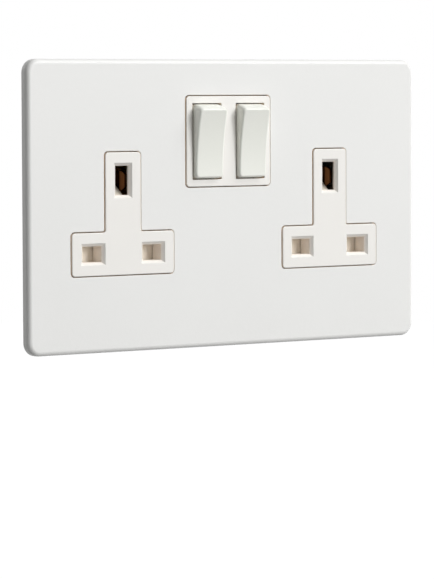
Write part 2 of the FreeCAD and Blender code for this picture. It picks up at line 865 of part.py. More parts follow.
def make_spring(name, radius, wire, pitch, low, high):
    """A coil spring along Z, of round wire, open at its ends."""
    body = new_body(name)
    sketch = draw(body, "XZ_Plane", ZERO, [Round(radius, low + wire / 2, wire / 2)])
    coil = body.newObject("PartDesign::AdditiveHelix", f"{name}_coil")
    coil.Profile = sketch
    coil.ReferenceAxis = (sketch, ["V_Axis"])
    coil.Mode = "pitch-height-angle"
    bind(coil, "Pitch", pitch)
    bind(coil, "Height", high - low - wire)
    return body


def make_rocker_spring(side, way):
    low = web_back + d.spring_end_gap
    high = d.plunger_tail - d.spring_end_gap
    wire = d.rocker_spring_wire
    name = f"{side}_rocker_spring"
    body = make_spring(name, d.rocker_spring_radius, wire, d.rocker_spring_pitch, low, high)
    x = d.rocker_pitch / 2 * way
    place(body, x, -d.pivot_depth, d.switch_rise, as_size(90) - d.rocker_tilt, (-1, 0, 0))


def place_on_blade(body, way):
    x = d.rocker_pitch / 2 * way
    place(body, x, blade_pivot, d.switch_rise, d.blade_tilt, (-1, 0, 0))


ear_inside = d.blade_width / 2 + d.ear_side_gap
ear_outside = ear_inside + d.strip


def make_moving_contact(side, way):
    body = new_body(f"{side}_moving_contact")
    half = d.blade_width / 2
    long = d.blade_length / 2
    pad(body, "x", [rectangle(blade_front, -d.blade_lift, -long, long)], -half, half)
    reach = ear_outside + d.ear_side_gap
    pad(body, "x", [Round(ZERO, ZERO, d.trunnion_radius)], -reach, reach)
    place_on_blade(body, way)
    tip = new_body(f"{side}_moving_tip")
    tip_back = d.contact_thickness - d.blade_lift
    disc = Round(ZERO, d.contact_reach, d.contact_radius)
    pad(tip, "y", [disc], -d.blade_lift, tip_back)
    place_on_blade(tip, way)


def make_shutter(side, way):
    """A slide behind the insert: two wings close the lower slots, and a ramp stands in the upper."""
    body = new_body(f"{side}_shutter")
    stem = d.shutter_stem_width / 2
    foot_top = earth_row - d.ramp_foot_drop
    points = [
        (-shutter_half, shutter_low),
        (shutter_half, shutter_low),
        (shutter_half, shutter_high),
        (stem, shutter_high),
        (stem, foot_top),
        (-stem, foot_top),
        (-stem, shutter_high),
        (-shutter_half, shutter_high),
    ]
    pad(body, "y", [points], shutter_front, shutter_back)
    ramp_front = lip_back + d.ramp_front_gap
    ramp_end = ramp_front + d.ramp_depth
    ramp_top = foot_top + d.ramp_rise
    wedge_back = ramp_end + d.ramp_back
    sole = foot_top - d.ramp_back
    ramp = [
        (ramp_front, sole),
        (wedge_back, sole),
        (wedge_back, ramp_top),
        (ramp_end, ramp_top),
        (ramp_front, foot_top),
    ]
    pad(body, "x", [ramp], -d.ramp_width / 2, d.ramp_width / 2)
    foot = rectangle(
        -d.foot_width / 2, d.foot_width / 2, shutter_low, shutter_low + d.foot_height
    )
    pad(body, "y", [foot], shutter_front, shutter_front + d.foot_depth)
    place(body, d.socket_offset * way, ZERO, ZERO)


def make_shutter_spring(side, way):
    low = d.spring_end_gap - inside_height
    high = shutter_low - d.spring_end_gap
    wire = d.shutter_spring_wire
    name = f"{side}_shutter_spring"
    body = make_spring(name, d.shutter_spring_radius, wire, d.shutter_spring_pitch, low, high)
    place(body, d.socket_offset * way, spring_depth, ZERO)


def make_retainer(side, way):
    """A flat plate staked over the shutter's wings, open in the middle for its foot and spring."""
    body = new_body(f"{side}_shutter_retainer")
    half = stake_side + shoulder_radius
    low = stake_low - shoulder_radius
    high = stake_high + shoulder_radius + d.stop_height
    pad(body, "y", [rectangle(-half, half, low, high)], retainer_front, retainer_back)
    notch = d.foot_width / 2 + d.retainer_slot_gap
    notch_top = shutter_low + d.foot_height + d.retainer_slot_gap
    pocket(body, "y", [rectangle(-notch, notch, low, notch_top)], retainer_front, retainer_back)
    windows = line_slots(ZERO, d.retainer_window_gap)
    pocket(body, "y", windows, retainer_front, retainer_back)
    holes = rounds(stake_places(ZERO), d.stake_radius + d.stake_gap)
    pocket(body, "y", holes, retainer_front, retainer_back)
    place(body, d.socket_offset * way, ZERO, ZERO)


clip_front = retainer_back + d.stake_head + d.clip_front_gap


def add_pin_clip(body, x, level):
    """Two leaves folded forward from the strap, one above and one below the pin, flared to guide it."""
    left = x - d.clip_width / 2
    right = x + d.clip_width / 2
    grip = d.clip_grip / 2
    for way in (-1, 1):
        inner = pin_row + grip * way
        outer = pin_row + (grip + d.strip) * way
        wide_inner = inner + d.clip_flare * way
        wide_outer = outer + d.clip_flare * way
        throat = clip_front + d.clip_flare_length
        leaf = [
            (level + d.strip, inner),
            (throat, inner),
            (clip_front, wide_inner),
            (clip_front, wide_outer),
            (throat, outer),
            (level + d.strip, outer),
        ]
        pad(body, "x", [leaf], left, right)


def clip_base(x, inner_edge, top):
    """The strap's end behind a pin clip, joined to a leg that rises to the given height."""
    half = d.clip_width / 2
    low = pin_row - d.clip_grip / 2 - d.strip
    high = pin_row + d.clip_grip / 2 + d.strip
    if inner_edge is None:
        return rectangle(x - half, x + half, low, top)
    leg, toward = inner_edge
    near = leg + d.strap_width * toward
    if toward > 0:
        return [(leg, low), (x + half, low), (x + half, high), (near, high), (near, top), (leg, top)]
    return [(x - half, low), (leg, low), (leg, top), (near, top), (near, high), (x - half, high)]


leg_edge = d.housing_width / 2 - d.lug_notch_depth - d.housing_wall - d.strip - d.strap_width


def make_line_contact(side, way):
    """The strap from a switch's fixed contact to the line clip of the socket on its side."""
    body = new_body(f"{side}_line_contact")
    x = d.socket_offset * way + line_side
    top = d.strap_top
    low = top - d.strap_width
    start = d.rocker_pitch / 2 * way
    half = d.strap_width / 2 + d.strip
    if way < 0:
        run = rectangle(x - d.clip_width / 2, start + half, low, top)
        leg = clip_base(x, None, low)
    else:
        run = rectangle(start - half, leg_edge + d.strap_width, low, top)
        leg = clip_base(x, (leg_edge, 1), low)
    pad(body, "y", [leg], line_level, line_back)
    pad(body, "y", [run], line_level, line_back)
    add_pin_clip(body, x, line_level)


terminal_top = -d.terminal_top_drop
terminal_low = terminal_top - d.terminal_height
terminal_middle = (terminal_top + terminal_low) / 2


def tab_outline(x, top):
    half = d.tab_width / 2
    return rectangle(x - half, x + half, terminal_low, top)


def drill_tab(body, x, level):
    hole = Round(x, terminal_middle, d.clamp_screw_radius + d.screw_clearance)
    pocket(body, "y", [hole], level, level + d.strip)


def make_line_bar():
    """The feed to both switches: a bar with ears for the see-saw contacts, and a tab to its terminal."""
    body = new_body("line_bar")
    half = d.strap_width / 2
    low = d.switch_rise - half
    high = d.switch_rise + half
    reach = d.rocker_pitch / 2 + ear_outside
    end = d.terminal_pitch + d.tab_width / 2
    pad(body, "y", [rectangle(-reach, end, low, high)], line_level, line_back)
    pad(body, "y", [tab_outline(d.terminal_pitch, low)], line_level, line_back)
    drill_tab(body, d.terminal_pitch, line_level)
    hole = d.trunnion_radius + d.trunnion_clearance
    margin = hole + d.ear_margin
    ear = rectangle(
        blade_pivot - margin, line_level, d.switch_rise - margin, d.switch_rise + margin
    )
    for way in SIDES.values():
        x = d.rocker_pitch / 2 * way
        pad(body, "x", [ear], x - ear_outside, x - ear_inside)
        pad(body, "x", [ear], x + ear_inside, x + ear_outside)
        pivot = Round(blade_pivot, d.switch_rise, hole)
        pocket(body, "x", [pivot], x - ear_outside, x + ear_outside)


def make_neutral_bar():
    """The bar that joins both neutral clips, with a tab to its terminal."""
    body = new_body("neutral_bar")
    left, right = clip_spots(-1)
    top = -d.neutral_bar_drop
    low = top - d.strap_width
    bar = rectangle(-leg_edge - d.strap_width, right + d.clip_width / 2, low, top)
    pad(body, "y", [bar], neutral_level, neutral_back)
    pad(body, "y", [clip_base(left, (-leg_edge, -1), low)], neutral_level, neutral_back)
    pad(body, "y", [clip_base(right, None, low)], neutral_level, neutral_back)
    pad(body, "y", [tab_outline(-d.terminal_pitch, low)], neutral_level, neutral_back)
    drill_tab(body, -d.terminal_pitch, neutral_level)
    for x in (left, right):
        add_pin_clip(body, x, neutral_level)


def make_earth_bar():
    """The bar that joins both earth clips; each clip has a leaf on either side of the pin."""
    body = new_body("earth_bar")
    low = earth_row - d.earth_clip_drop
    high = low + d.earth_clip_height
    grip = d.clip_grip / 2
    end = d.socket_offset + grip + d.strip
    pad(body, "y", [rectangle(-end, end, low, high)], earth_level, housing_back)
    pad(body, "y", [tab_outline(ZERO, low)], earth_level, housing_back)
    drill_tab(body, ZERO, earth_level)
    lip_front = insert_face + d.earth_lip_depth
    knee = insert_face + d.earth_knee_depth
    throat = insert_face + d.earth_throat_depth
    for side in SIDES.values():
        for way in (-1, 1):
            x = d.socket_offset * side
            inner = x + grip * way
            outer = x + (grip + d.strip) * way
            flare = d.earth_lip_flare * way
            bend = d.earth_knee_flare * way
            leaf = [
                (inner, earth_level),
                (inner, throat),
                (inner + bend, knee),
                (inner + flare, lip_front),
                (outer + flare, lip_front),
                (outer + bend, knee),
                (outer, throat),
                (outer, earth_level),
            ]
            pad(body, "z", [leaf], low, high)
    reach = end + d.earth_lip_flare
    pocket(body, "x", [lip_corner(lip_front, low, 1), lip_corner(lip_front, high, -1)], -reach, reach)


def lip_corner(front, height, way):
    """What is cut from a leaf's lip to round its corner: way is 1 at its foot and -1 at its top."""
    radius = d.earth_leaf_corner
    end = (front, height + radius * way)
    return [(front, height), (front + radius, height, radius * -way), end]


def make_terminal(name, x, level):
    """A brass block behind a tab, bored upwards for the cable and from behind for its clamp screw."""
    body = new_body(name)
    front = level - d.terminal_depth
    half = d.terminal_width / 2
    pad(body, "y", [rectangle(x - half, x + half, terminal_low, terminal_top)], front, level)
    middle = level - d.terminal_depth / 2
    bore = Round(x, middle, d.cable_bore_radius)
    pocket(body, "z", [bore], terminal_low, terminal_top)
    hole = Round(x, terminal_middle, d.clamp_screw_radius + d.screw_clearance)
    pocket(body, "y", [hole], middle, level)


def make_screw(name, place_at, head_front, head, head_radius, shank_tip, shank_radius, way):
    """A slotted screw along Y: way is the side that its head faces, 1 for the back."""
    x, z = place_at
    parts = []
    head_low, head_high = sorted((head_front, head_front + head * way), key=lambda s: s.value)
    shank_low, shank_high = sorted((shank_tip, head_front), key=lambda s: s.value)
    spans = ((head_radius, head_low, head_high), (shank_radius, shank_low, shank_high))
    for label, (radius, low, high) in zip(("head", "shank"), spans):
        rod = doc.addObject("Part::Cylinder", f"{name}_{label}")
        bind(rod, "Radius", radius)
        bind(rod, "Height", high - low)
        place(rod, x, low, z, as_size(90), (-1, 0, 0))
        parts.append(rod)
    whole = doc.addObject("Part::Fuse", f"{name}_blank")
    whole.Base, whole.Tool = parts
    slot = doc.addObject("Part::Box", f"{name}_slot")
    slot_depth = head / 2
    bind(slot, "Length", head_radius * 2)
    bind(slot, "Width", slot_depth)
    bind(slot, "Height", d.screw_slot)
    slot_front = head_high - slot_depth if way > 0 else head_low
    place(slot, x - head_radius, slot_front, z - d.screw_slot / 2)
    screw = doc.addObject("Part::Cut", name)
    screw.Base = whole
    screw.Tool = slot
    return screw


def group(name, members):
    """Like fasteners as one piece of the list, each still a solid of its own."""
    compound = doc.addObject("Part::Compound", name)
    compound.Label = name
    compound.Links = members
    pieces.append(compound)


def make_screws():
    covers = [
        make_screw(
            f"cover_screw_{i}",
            spot,
            cover_back - d.screw_head,
            d.screw_head,
            d.screw_head_radius,
            housing_back - d.screw_length + d.screw_head_gap,
            d.screw_radius,
            1,
        )
        for i, spot in enumerate(cover_screw_places)
    ]
    group("cover_screws", covers)
    head_back = frame_front + d.screw_clearance + d.frame_screw_head
    frames = [
        make_screw(
            f"frame_screw_{i}",
            spot,
            head_back,
            d.frame_screw_head,
            d.screw_head_radius,
            d.screw_length - d.screw_head_gap,
            d.screw_radius,
            -1,
        )
        for i, spot in enumerate(frame_screw_places)
    ]
    group("frame_screws", frames)
    clamps = [
        make_screw(
            f"clamp_screw_{name}",
            (x, terminal_middle),
            level + d.strip,
            d.clamp_screw_head,
            d.clamp_screw_head_radius,
            level - d.clamp_screw_reach,
            d.clamp_screw_radius,
            1,
        )
        for name, x, level in terminals
    ]
    group("terminal_screws", clamps)


def make_fixed_tips():
    tips = []
    for side, way in SIDES.items():
        tip = doc.addObject("Part::Cylinder", f"{side}_fixed_tip")
        bind(tip, "Radius", d.contact_radius)
        bind(tip, "Height", d.contact_thickness)
        x = d.rocker_pitch / 2 * way
        z = d.switch_rise + d.contact_reach
        place(tip, x, contact_front, z, as_size(90), (-1, 0, 0))
        tips.append(tip)
    group("fixed_contact_tips", tips)


terminals = (
    ("line", d.terminal_pitch, line_level),
    ("neutral", -d.terminal_pitch, neutral_level),
    ("earth", ZERO, earth_level),
)

make_front_plate()
make_backing_frame()
make_socket_moulding()
make_rear_housing()
for side, way in SIDES.items():
    make_rocker(side, way)
    make_plunger(side, way)
    make_rocker_spring(side, way)
    make_moving_contact(side, way)
    make_shutter(side, way)
    make_shutter_spring(side, way)
    make_retainer(side, way)
    make_line_contact(side, way)
make_line_bar()
make_neutral_bar()
make_earth_bar()
for name, x, level in terminals:
    make_terminal(f"{name}_terminal", x, level)
make_fixed_tips()
make_screws()
doc.recompute()


def check_model():
    """Stops if anything failed to build, or if a cut or a pad changed nothing."""
    for thing in doc.Objects:
        if {"Invalid", "Error"} & set(thing.State):
            raise RuntimeError(f"{thing.Name} failed: {thing.State}")
    for thing in doc.Objects:
        if thing.TypeId in ("PartDesign::Pocket", "PartDesign::Pad") and thing.BaseFeature:
            change = thing.Shape.Volume - thing.BaseFeature.Shape.Volume
            grows = thing.TypeId == "PartDesign::Pad"
            if (change > 1e-6) != grows:
                raise RuntimeError(f"{thing.Name} changed the volume by {change}")
    for piece in pieces:
        if piece.Shape.isNull() or not piece.Shape.isValid() or not piece.Shape.Solids:
            raise RuntimeError(f"{piece.Label} has no valid solid")


check_model()
os.makedirs("parts", exist_ok=True)
for piece in pieces:
    piece.Shape.exportStep(f"parts/{piece.Label}.step")
    box = piece.Shape.BoundBox
    print(f"{piece.Label}: {len(piece.Shape.Solids)} solid, {piece.Shape.Volume:.1f} mm3, {box}")
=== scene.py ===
import math

import bpy
from mathutils import Matrix, Vector


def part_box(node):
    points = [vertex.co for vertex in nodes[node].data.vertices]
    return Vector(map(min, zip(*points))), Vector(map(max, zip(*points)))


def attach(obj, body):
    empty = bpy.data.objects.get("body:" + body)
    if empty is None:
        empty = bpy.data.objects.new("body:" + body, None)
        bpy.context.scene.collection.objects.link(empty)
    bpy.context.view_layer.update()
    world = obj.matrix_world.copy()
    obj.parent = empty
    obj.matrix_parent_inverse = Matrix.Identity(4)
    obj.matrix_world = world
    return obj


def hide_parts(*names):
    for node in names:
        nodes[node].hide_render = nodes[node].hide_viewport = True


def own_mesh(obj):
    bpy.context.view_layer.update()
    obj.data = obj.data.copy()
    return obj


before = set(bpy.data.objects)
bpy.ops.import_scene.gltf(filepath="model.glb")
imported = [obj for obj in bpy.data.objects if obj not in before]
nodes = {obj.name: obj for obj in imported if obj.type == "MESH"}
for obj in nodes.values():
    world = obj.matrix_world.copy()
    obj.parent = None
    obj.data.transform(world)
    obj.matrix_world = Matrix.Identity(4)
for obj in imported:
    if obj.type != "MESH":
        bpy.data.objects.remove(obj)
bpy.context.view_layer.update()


# View: the plate hangs at eye level, seen from its left through a long lens,
# with the lens's own framing and no shift
EYE = Vector((-0.6224, -0.8413, 0.0341))
LENS_MM = 208.4
SENSOR_MM = 36.0
YAW = math.radians(36.39)
PITCH = math.radians(-3.35)
ROLL = math.radians(-0.22)

forward = Vector((math.sin(YAW) * math.cos(PITCH), math.cos(YAW) * math.cos(PITCH), math.sin(PITCH)))
level_right = Vector((math.cos(YAW), -math.sin(YAW), 0.0))
level_up = level_right.cross(forward)
right = level_right * math.cos(ROLL) + level_up * math.sin(ROLL)
up = level_up * math.cos(ROLL) - level_right * math.sin(ROLL)
camera_lens = bpy.data.cameras.new("camera")
camera_lens.lens = LENS_MM
camera_lens.sensor_width = SENSOR_MM
camera = bpy.data.objects.new("camera", camera_lens)
turn = Matrix((right, up, -forward)).transposed().to_4x4()
camera.matrix_world = Matrix.Translation(EYE) @ turn
bpy.context.scene.collection.objects.link(camera)
bpy.context.scene.camera = camera
bpy.context.scene.view_settings.view_transform = "Standard"


# Studio: two large soft lights in front on the right, one low and one high, a weaker one behind,
# a dim room all round, and a white floor and background
LIGHT_DISTANCE = 3.0
LIGHT_SIZE = 1.4
LIGHTS = {"key": (30, 20, 62.0), "high": (55, 45, 33.0), "back": (180, 8, 40.0)}
ROOM = (0.255, 0.255, 0.253, 1.0)
WHITE = (1.0, 1.0, 1.0, 1.0)

for name, (azimuth, elevation, watts) in LIGHTS.items():
    around = math.radians(azimuth)
    above = math.radians(elevation)
    way = Vector((math.sin(around) * math.cos(above), -math.cos(around) * math.cos(above), math.sin(above)))
    lamp = bpy.data.lights.new(name, "AREA")
    lamp.energy = watts
    lamp.size = LIGHT_SIZE
    holder = bpy.data.objects.new(name, lamp)
    facing = way.to_track_quat("Z", "Y").to_matrix().to_4x4()
    holder.matrix_world = Matrix.Translation(way * LIGHT_DISTANCE) @ facing
    bpy.context.scene.collection.objects.link(holder)


def seen_directly(tree):
    """1 for rays from the lens, and for those that reach it by way of metal or glass."""
    path = tree.nodes.new("ShaderNodeLightPath")
    mirrored = tree.nodes.new("ShaderNodeMath")
    mirrored.operation = "MAXIMUM"
    tree.links.new(path.outputs["Is Glossy Ray"], mirrored.inputs[0])
    tree.links.new(path.outputs["Is Transmission Ray"], mirrored.inputs[1])
    either = tree.nodes.new("ShaderNodeMath")
    either.operation = "MAXIMUM"
    tree.links.new(path.outputs["Is Camera Ray"], either.inputs[0])
    tree.links.new(mirrored.outputs[0], either.inputs[1])
    return either.outputs[0]


world = bpy.data.worlds.new("studio")
world.use_nodes = True
bpy.context.scene.world = world
sky = world.node_tree
shade = sky.nodes.new("ShaderNodeMix")
shade.data_type = "RGBA"
shade.inputs["A"].default_value = ROOM
shade.inputs["B"].default_value = WHITE
sky.links.new(seen_directly(sky), shade.inputs["Factor"])
sky.links.new(shade.outputs["Result"], sky.nodes["Background"].inputs["Color"])

FLOOR_DROP = 0.16
FLOOR_RADIUS = 1.8
FLOOR_SIDES = 64
FLOOR_GLOW = 0.8
FLOOR_GREY = (0.30, 0.30, 0.30, 1.0)
floor_mesh = bpy.data.meshes.new("floor")
rim = [2 * math.pi * i / FLOOR_SIDES for i in range(FLOOR_SIDES)]
rim_points = [(FLOOR_RADIUS * math.cos(a), FLOOR_RADIUS * math.sin(a), -FLOOR_DROP) for a in rim]
floor_mesh.from_pydata(rim_points, [], [range(FLOOR_SIDES)])
floor_finish = bpy.data.materials.new("floor")
floor_finish.use_nodes = True
tree = floor_finish.node_tree
tree.nodes.remove(tree.nodes["Principled BSDF"])
ground = tree.nodes.new("ShaderNodeBsdfDiffuse")
ground.inputs["Color"].default_value = FLOOR_GREY
glow = tree.nodes.new("ShaderNodeEmission")
level = tree.nodes.new("ShaderNodeMath")
level.operation = "MULTIPLY"
level.inputs[1].default_value = FLOOR_GLOW
tree.links.new(seen_directly(tree), level.inputs[0])
tree.links.new(level.outputs[0], glow.inputs["Strength"])
both = tree.nodes.new("ShaderNodeAddShader")
tree.links.new(ground.outputs[0], both.inputs[0])
tree.links.new(glow.outputs[0], both.inputs[1])
tree.links.new(both.outputs[0], tree.nodes["Material Output"].inputs["Surface"])
floor_mesh.materials.append(floor_finish)
floor = bpy.data.objects.new("floor", floor_mesh)
bpy.context.scene.collection.objects.link(floor)


# Front plate: pressed sheet steel, sprayed with a satin white paint,
# that snaps over the backing frame with no screws showing
SPECKLE_DETAIL = 3.0
DRIFT_DETAIL = 2.0
SPECKLE_SHARE = 0.35


def fine_grain():
    """The fine unevenness of a sprayed or moulded skin: speckle over a slow drift of tone."""
    group = bpy.data.node_groups.new("fine_grain", "ShaderNodeTree")
    for name, start in (
        ("Cells per metre", 2500.0),
        ("Drift per metre", 25.0),
        ("Roughness", 0.4),
        ("Roughness spread", 0.1),
    ):
        group.interface.new_socket(name, in_out="INPUT", socket_type="NodeSocketFloat").default_value = start
    for name in ("Tone", "Roughness", "Height"):
        group.interface.new_socket(name, in_out="OUTPUT", socket_type="NodeSocketFloat")
    entry = group.nodes.new("NodeGroupInput")
    exit_ = group.nodes.new("NodeGroupOutput")
    spot = group.nodes.new("ShaderNodeTexCoord")
    speckle = group.nodes.new("ShaderNodeTexNoise")
    speckle.inputs["Detail"].default_value = SPECKLE_DETAIL
    drift = group.nodes.new("ShaderNodeTexNoise")
    drift.inputs["Detail"].default_value = DRIFT_DETAIL
    for noise, scale in ((speckle, "Cells per metre"), (drift, "Drift per metre")):
        group.links.new(spot.outputs["Object"], noise.inputs["Vector"])
        group.links.new(entry.outputs[scale], noise.inputs["Scale"])
    tone = group.nodes.new("ShaderNodeMix")
    tone.inputs["Factor"].default_value = SPECKLE_SHARE
    group.links.new(drift.outputs["Fac"], tone.inputs["A"])
    group.links.new(speckle.outputs["Fac"], tone.inputs["B"])
    swing = group.nodes.new("ShaderNodeMath")
    swing.operation = "MULTIPLY_ADD"
    group.links.new(drift.outputs["Fac"], swing.inputs[0])
    group.links.new(entry.outputs["Roughness spread"], swing.inputs[1])
    group.links.new(entry.outputs["Roughness"], swing.inputs[2])
    group.links.new(tone.outputs["Result"], exit_.inputs["Tone"])
    group.links.new(swing.outputs[0], exit_.inputs["Roughness"])
    group.links.new(speckle.outputs["Fac"], exit_.inputs["Height"])
    return group


FINE_GRAIN = fine_grain()


def linear(*srgb):
    """A colour as read off a swatch, 0 to 255, in the renderer's own scale."""
    parts = [c / 255 for c in srgb]
    return (*(c / 12.92 if c <= 0.04045 else ((c + 0.055) / 1.055) ** 2.4 for c in parts), 1.0)


def grained_finish(name, deep, pale, cells, roughness, relief):
    """A painted or moulded skin between two close tones; relief is the grain's height in metres."""
    finish = bpy.data.materials.new(name)
    finish.use_nodes = True
    tree = finish.node_tree
    skin = tree.nodes["Principled BSDF"]
    grain = tree.nodes.new("ShaderNodeGroup")
    grain.node_tree = FINE_GRAIN
    grain.inputs["Cells per metre"].default_value = cells
    grain.inputs["Roughness"].default_value = roughness
    tint = tree.nodes.new("ShaderNodeMix")
    tint.data_type = "RGBA"
    tint.inputs["A"].default_value = deep
    tint.inputs["B"].default_value = pale
    bump = tree.nodes.new("ShaderNodeBump")
    bump.inputs["Distance"].default_value = relief
    tree.links.new(grain.outputs["Tone"], tint.inputs["Factor"])
    tree.links.new(tint.outputs["Result"], skin.inputs["Base Color"])
    tree.links.new(grain.outputs["Roughness"], skin.inputs["Roughness"])
    tree.links.new(grain.outputs["Height"], bump.inputs["Height"])
    tree.links.new(bump.outputs["Normal"], skin.inputs["Normal"])
    return finish


def dress(finish, *names):
    for name in names:
        for slot in nodes[name].material_slots:
            slot.material = finish


def paint_warm_bounce(finish, colour, depths, areas, outside=()):
    """Paints warm shade and warm bounce light into a skin's colour in gaps: from none to full between two
    depths along Y, up to a third.

    It does so in some areas and outside others. Each is a box that both halves of the piece have:
    its middle and half width in X, and then in Z."""
    mouth, full, end = depths
    tree = finish.node_tree
    base = tree.nodes["Principled BSDF"].inputs["Base Color"]

    def math_node(operation, *values):
        node = tree.nodes.new("ShaderNodeMath")
        node.operation = operation
        for socket, value in zip(node.inputs, values):
            if isinstance(value, float):
                socket.default_value = value
            else:
                tree.links.new(value, socket)
        return node.outputs[0]

    spot = tree.nodes.new("ShaderNodeTexCoord")
    split = tree.nodes.new("ShaderNodeSeparateXYZ")
    tree.links.new(spot.outputs["Object"], split.inputs[0])
    across = math_node("ABSOLUTE", split.outputs["X"])
    depth = tree.nodes.new("ShaderNodeMapRange")
    depth.inputs["From Min"].default_value = mouth
    depth.inputs["From Max"].default_value = full
    tree.links.new(split.outputs["Y"], depth.inputs["Value"])
    above_end = math_node("LESS_THAN", split.outputs["Y"], end)
    share = math_node("MULTIPLY", depth.outputs[0], above_end)

    def in_any(boxes):
        held = 0.0
        for middle_x, half_x, middle_z, half_z in boxes:
            in_x = math_node("COMPARE", across, middle_x, half_x)
            in_z = math_node("COMPARE", split.outputs["Z"], middle_z, half_z)
            held = math_node("MAXIMUM", held, math_node("MULTIPLY", in_x, in_z))
        return held

    share = math_node("MULTIPLY", share, in_any(areas))
    if outside:
        share = math_node("MULTIPLY", share, math_node("SUBTRACT", 1.0, in_any(outside)))
    blend = tree.nodes.new("ShaderNodeMix")
    blend.data_type = "RGBA"
    blend.inputs["B"].default_value = colour
    tree.links.new(base.links[0].from_socket, blend.inputs["A"])
    tree.links.new(share, blend.inputs["Factor"])
    tree.links.new(blend.outputs["Result"], base)


SIDES = ("left", "right")
# The warm tone for the narrow gaps round the inserts is painted shade
GAP_PAINTED_SHADE = linear(246, 226, 202)
WINDOWS = [(0.032, 0.032, 0.0, 0.038)]
CUT_DEPTHS = (-0.0029, -0.0026, -0.00195)
plate_paint = grained_finish(
    "plate_paint", linear(229, 229, 227), linear(234, 234, 232), cells=900, roughness=0.36, relief=0.000012
)
# Painted warm shade on the walls of the plate's windows, a little behind its face
paint_warm_bounce(plate_paint, GAP_PAINTED_SHADE, CUT_DEPTHS, WINDOWS)
dress(plate_paint, "front_plate")


# Backing frame: a flat moulding of tough pale plastic that is screwed to the wall box;
# the plate's rim snaps over the catches round its edge
frame_plastic = grained_finish(
    "frame_plastic", linear(205, 204, 199), linear(216, 215, 210), cells=3000, roughness=0.5, relief=0.00001
)
dress(frame_plastic, "backing_frame")


# Socket moulding and rear housing: the socket faces and the switch surround stand on the box's front wall,
# moulded in a hard warm white thermoset; the rear housing closes the box from behind with four screws
GAP_DEPTHS = (-0.0032, -0.0028, 0.0003)
SLOT_DEPTHS = (-0.0032, -0.0020, 0.0024)
# The warm tone for the pin slots is painted bounce light, laid on their walls from a little behind the face
# inwards
SLOT_PAINTED_BOUNCE = linear(249, 240, 230)
SLOTS = [
    (0.028935, 0.0048, -0.0145, 0.0036),
    (0.051165, 0.0048, -0.0145, 0.0036),
    (0.04005, 0.0036, 0.00773, 0.0057),
]
insert_plastic = grained_finish(
    "insert_plastic", linear(234, 232, 227), linear(239, 237, 233), cells=3500, roughness=0.34, relief=0.000006
)
# Painted warm shade on the moulding's outer walls in the gaps, and painted warm bounce light inside the pin
# slots
paint_warm_bounce(insert_plastic, GAP_PAINTED_SHADE, GAP_DEPTHS, WINDOWS, outside=SLOTS)
paint_warm_bounce(insert_plastic, SLOT_PAINTED_BOUNCE, SLOT_DEPTHS, SLOTS)
cover_plastic = grained_finish(
    "cover_plastic", linear(226, 224, 217), linear(234, 232, 226), cells=2600, roughness=0.42, relief=0.000012
)
dress(insert_plastic, "socket_moulding")
dress(cover_plastic, "rear_housing")


# Back of the housing: a moulded stiffening bead round its upper part and two rows of ejector pin rings,
# raised a little from the flat back in the same plastic
CORNER_STEPS = 8
BEAD_SIDES = 14
RING_STEPS = 40
RING_SIDES = 10


def raised_back():
    """Beads on the XY plane: one round a rounded rectangle, and rings at the points of a grid inside it."""
    tree = bpy.data.node_groups.new("raised_back", "GeometryNodeTree")
    for label, kind in (
        ("Width", "Float"),
        ("Height", "Float"),
        ("Corner", "Float"),
        ("Bead radius", "Float"),
        ("Ring columns", "Int"),
        ("Ring rows", "Int"),
        ("Ring span", "Float"),
        ("Ring rise", "Float"),
        ("Ring radius", "Float"),
        ("Ring bead", "Float"),
        ("Finish", "Material"),
    ):
        tree.interface.new_socket(label, in_out="INPUT", socket_type=f"NodeSocket{kind}")
    tree.interface.new_socket("Geometry", in_out="OUTPUT", socket_type="NodeSocketGeometry")
    entry = tree.nodes.new("NodeGroupInput")
    exit_ = tree.nodes.new("NodeGroupOutput")

    def bead(path, radius, sides):
        section = tree.nodes.new("GeometryNodeCurvePrimitiveCircle")
        section.inputs["Resolution"].default_value = sides
        tree.links.new(entry.outputs[radius], section.inputs["Radius"])
        sweep = tree.nodes.new("GeometryNodeCurveToMesh")
        tree.links.new(path, sweep.inputs["Curve"])
        tree.links.new(section.outputs["Curve"], sweep.inputs["Profile Curve"])
        return sweep.outputs["Mesh"]

    border = tree.nodes.new("GeometryNodeCurvePrimitiveQuadrilateral")
    tree.links.new(entry.outputs["Width"], border.inputs["Width"])
    tree.links.new(entry.outputs["Height"], border.inputs["Height"])
    turned = tree.nodes.new("GeometryNodeFilletCurve")
    turned.mode = "POLY"
    turned.inputs["Count"].default_value = CORNER_STEPS
    tree.links.new(border.outputs["Curve"], turned.inputs["Curve"])
    tree.links.new(entry.outputs["Corner"], turned.inputs["Radius"])
    grid = tree.nodes.new("GeometryNodeMeshGrid")
    for label, socket in (
        ("Ring span", "Size X"),
        ("Ring rise", "Size Y"),
        ("Ring columns", "Vertices X"),
        ("Ring rows", "Vertices Y"),
    ):
        tree.links.new(entry.outputs[label], grid.inputs[socket])
    circle = tree.nodes.new("GeometryNodeCurvePrimitiveCircle")
    circle.inputs["Resolution"].default_value = RING_STEPS
    tree.links.new(entry.outputs["Ring radius"], circle.inputs["Radius"])
    rings = tree.nodes.new("GeometryNodeInstanceOnPoints")
    tree.links.new(grid.outputs["Mesh"], rings.inputs["Points"])
    tree.links.new(bead(circle.outputs["Curve"], "Ring bead", RING_SIDES), rings.inputs["Instance"])
    joined = tree.nodes.new("GeometryNodeJoinGeometry")
    tree.links.new(bead(turned.outputs["Curve"], "Bead radius", BEAD_SIDES), joined.inputs["Geometry"])
    tree.links.new(rings.outputs["Instances"], joined.inputs["Geometry"])
    solid = tree.nodes.new("GeometryNodeRealizeInstances")
    tree.links.new(joined.outputs["Geometry"], solid.inputs["Geometry"])
    painted = tree.nodes.new("GeometryNodeSetMaterial")
    tree.links.new(solid.outputs["Geometry"], painted.inputs["Geometry"])
    tree.links.new(entry.outputs["Finish"], painted.inputs["Material"])
    tree.links.new(painted.outputs["Geometry"], exit_.inputs["Geometry"])
    return tree


